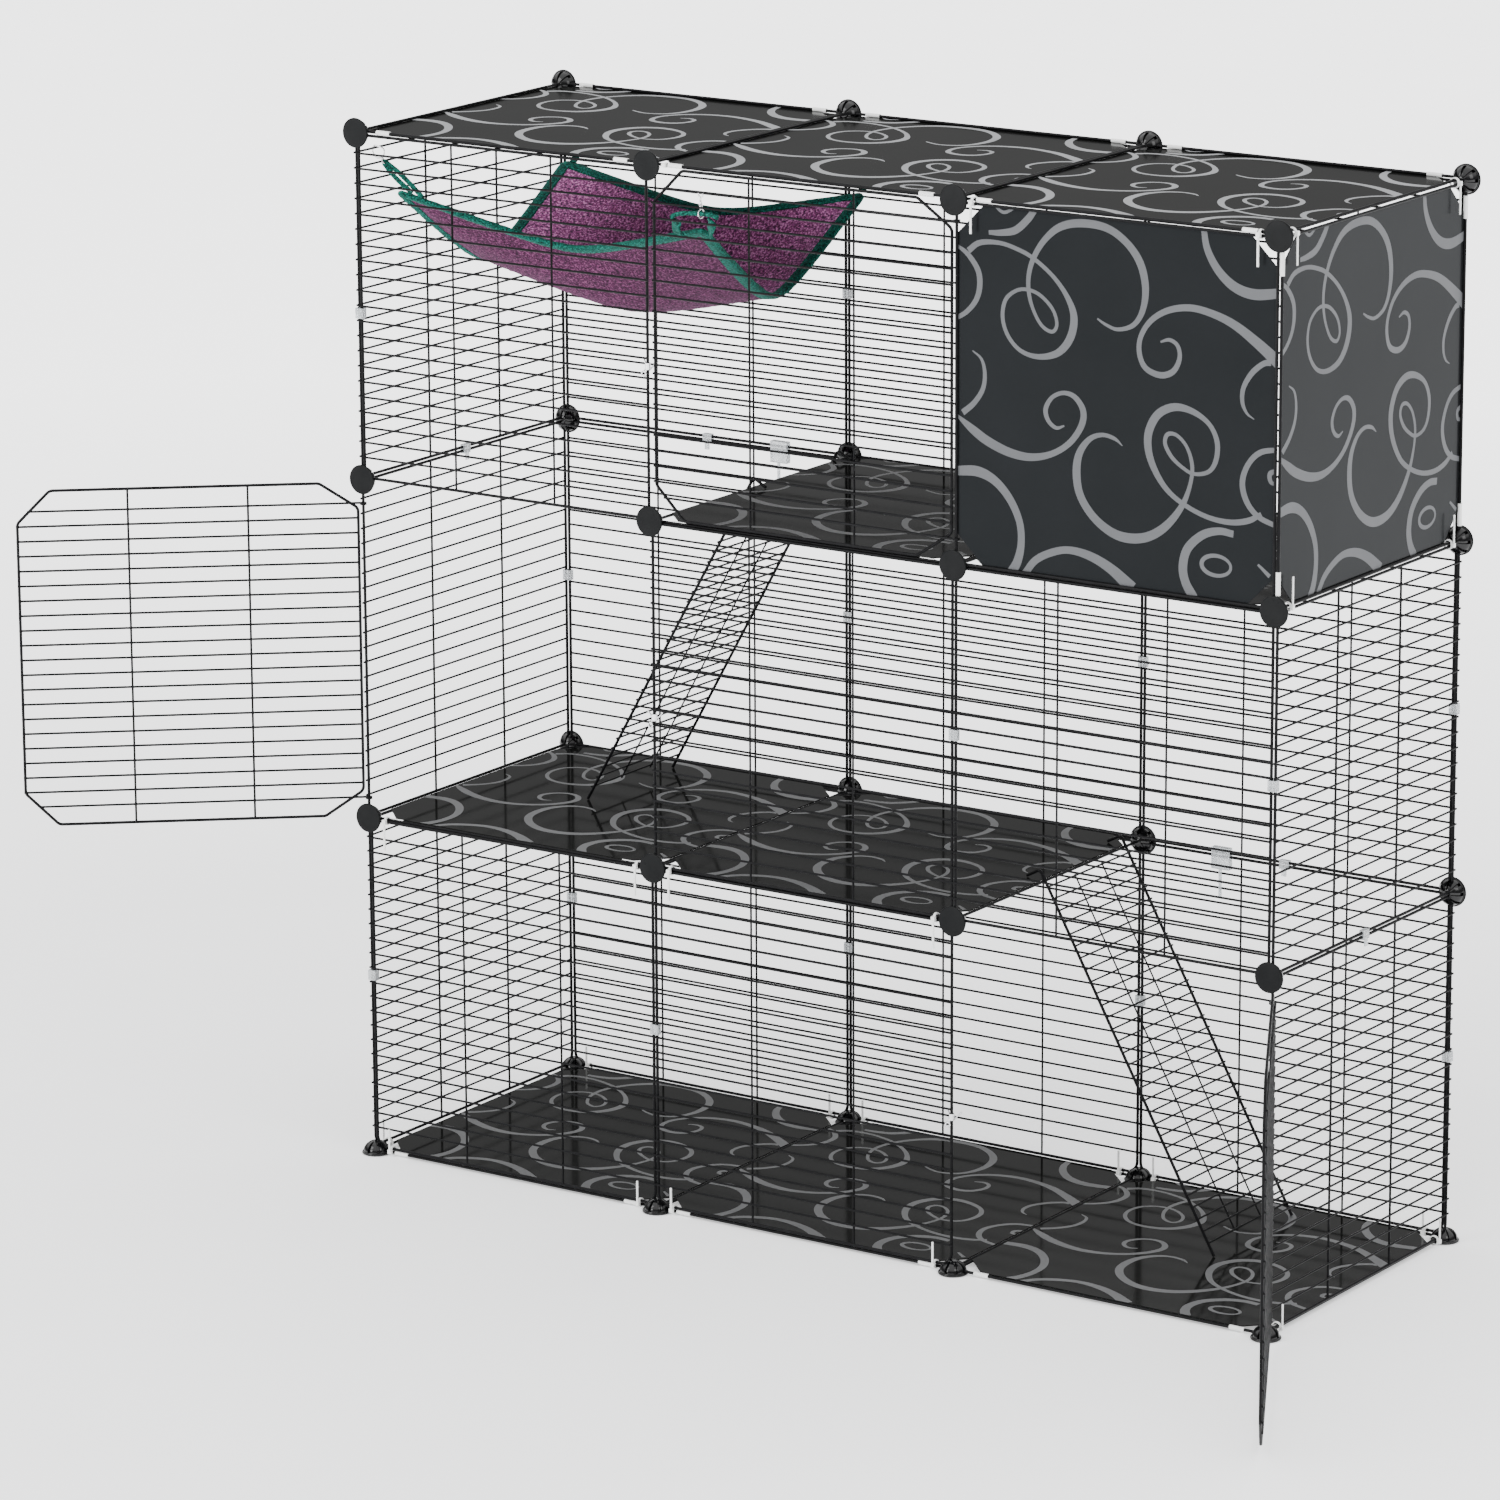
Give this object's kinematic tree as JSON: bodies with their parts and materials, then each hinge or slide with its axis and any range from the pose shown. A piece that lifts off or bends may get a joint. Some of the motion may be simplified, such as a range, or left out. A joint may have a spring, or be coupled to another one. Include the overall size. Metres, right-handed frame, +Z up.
{
  "type": "cat cage",
  "caption": "Modular wire pet cage of square panels on three levels with shelves, ramps, hinged octagon doors, corner connectors and a hung hammock.",
  "frame": {"origin": "middle of the underside of the front left foot, on the ground", "axes": "+X to the right along the front, +Y from the front to the back, +Z up"},
  "size_m": [1.4957, 0.6676, 1.0735],
  "materials": {
    "wire": "satin black powder coat",
    "door_wire": "satin black powder coat",
    "sheet": "dark grey smooth sheet with a grey scroll pattern",
    "connector": "smooth dark moulded plastic",
    "clear_clip": "clear moulded plastic",
    "white_plastic": "white nylon",
    "fleece": "speckled magenta and purple fleece",
    "binding": "speckled teal edge binding",
    "bright_metal": "bright nickel plated wire"
  },
  "bodies": {
    "cage": {"frames_floor": "wire", "frames_mid": "wire", "frames_upper": "wire", "frames_top": "wire", "frame_front": "wire", "frame_right": "wire", "sheet_floor_1": "sheet", "sheet_floor_2": "sheet", "sheet_floor_3": "sheet", "sheet_mid_1": "sheet", "sheet_mid_2": "sheet", "sheet_upper_2": "sheet", "sheet_upper_3": "sheet", "sheet_top_1": "sheet", "sheet_top_2": "sheet", "sheet_top_3": "sheet", "sheet_front": "sheet", "sheet_right": "sheet", "front_1_1": "wire", "front_2_1": "wire", "front_2_2": "wire", "front_3_2": "wire", "front_1_3": "wire", "back_1_1": "wire", "back_2_1": "wire", "back_3_1": "wire", "back_1_2": "wire", "back_2_2": "wire", "back_3_2": "wire", "back_1_3": "wire", "back_2_3": "wire", "back_3_3": "wire", "left_1": "wire", "left_2": "wire", "left_3": "wire", "right_1": "wire", "right_2": "wire", "front_connectors": "connector", "back_connectors": "connector", "feet": "connector", "edge_clips": "clear_clip", "sheet_sleeves": "white_plastic", "cable_ties": "white_plastic", "hammock_cloth": "fleece", "hammock_binding": "binding", "hammock_straps": "binding", "hammock_clips": "bright_metal"},
    "door_a": {"door_a": "door_wire"},
    "door_b": {"door_b": "door_wire"},
    "door_c": {"door_c": "door_wire"},
    "latch_a": {"latch_a": "bright_metal"},
    "latch_b": {"latch_b": "bright_metal"},
    "latch_c": {"latch_c": "bright_metal"},
    "ramp_upper": {"ramp_upper": "door_wire"},
    "ramp_lower": {"ramp_lower": "door_wire"}
  },
  "joints": [
    {"name": "door_a_hinge", "type": "hinge", "parent": "cage", "child": "door_a", "pos_m": [-0.0018, 0.00115, 0.3565], "axis": [0, 0, 1], "range_deg": [-40, 140]},
    {"name": "door_b_hinge", "type": "hinge", "parent": "cage", "child": "door_b", "pos_m": [0.704, 0, 0.7075], "axis": [0, 0, 1], "range_deg": [0, 135]},
    {"name": "door_c_hinge", "type": "hinge", "parent": "cage", "child": "door_c", "pos_m": [1.0548, 0.00115, 0.0055], "axis": [0, 0, 1], "range_deg": [-118.7, 60]},
    {"name": "latch_a_turn", "type": "hinge", "parent": "cage", "child": "latch_a", "pos_m": [0.353, 0, 0.52], "axis": [0, 0, 1], "range_deg": [-40, 0]},
    {"name": "latch_b_turn", "type": "hinge", "parent": "cage", "child": "latch_b", "pos_m": [0.349, 0, 0.86], "axis": [0, 0, 1], "range_deg": [0, 40]},
    {"name": "latch_c_turn", "type": "hinge", "parent": "cage", "child": "latch_c", "pos_m": [0.7, 0, 0.16], "axis": [0, 0, 1], "range_deg": [0, 40]},
    {"name": "ramp_upper_lift", "type": "hinge", "parent": "cage", "child": "ramp_upper", "pos_m": [0.371, 0.247, 0.7114], "axis": [0, 1, 0], "range_deg": [0, 27]},
    {"name": "ramp_lower_lift", "type": "hinge", "parent": "cage", "child": "ramp_lower", "pos_m": [0.682, 0.241, 0.3604], "axis": [0, -1, 0], "range_deg": [0, 28]}
  ]
}
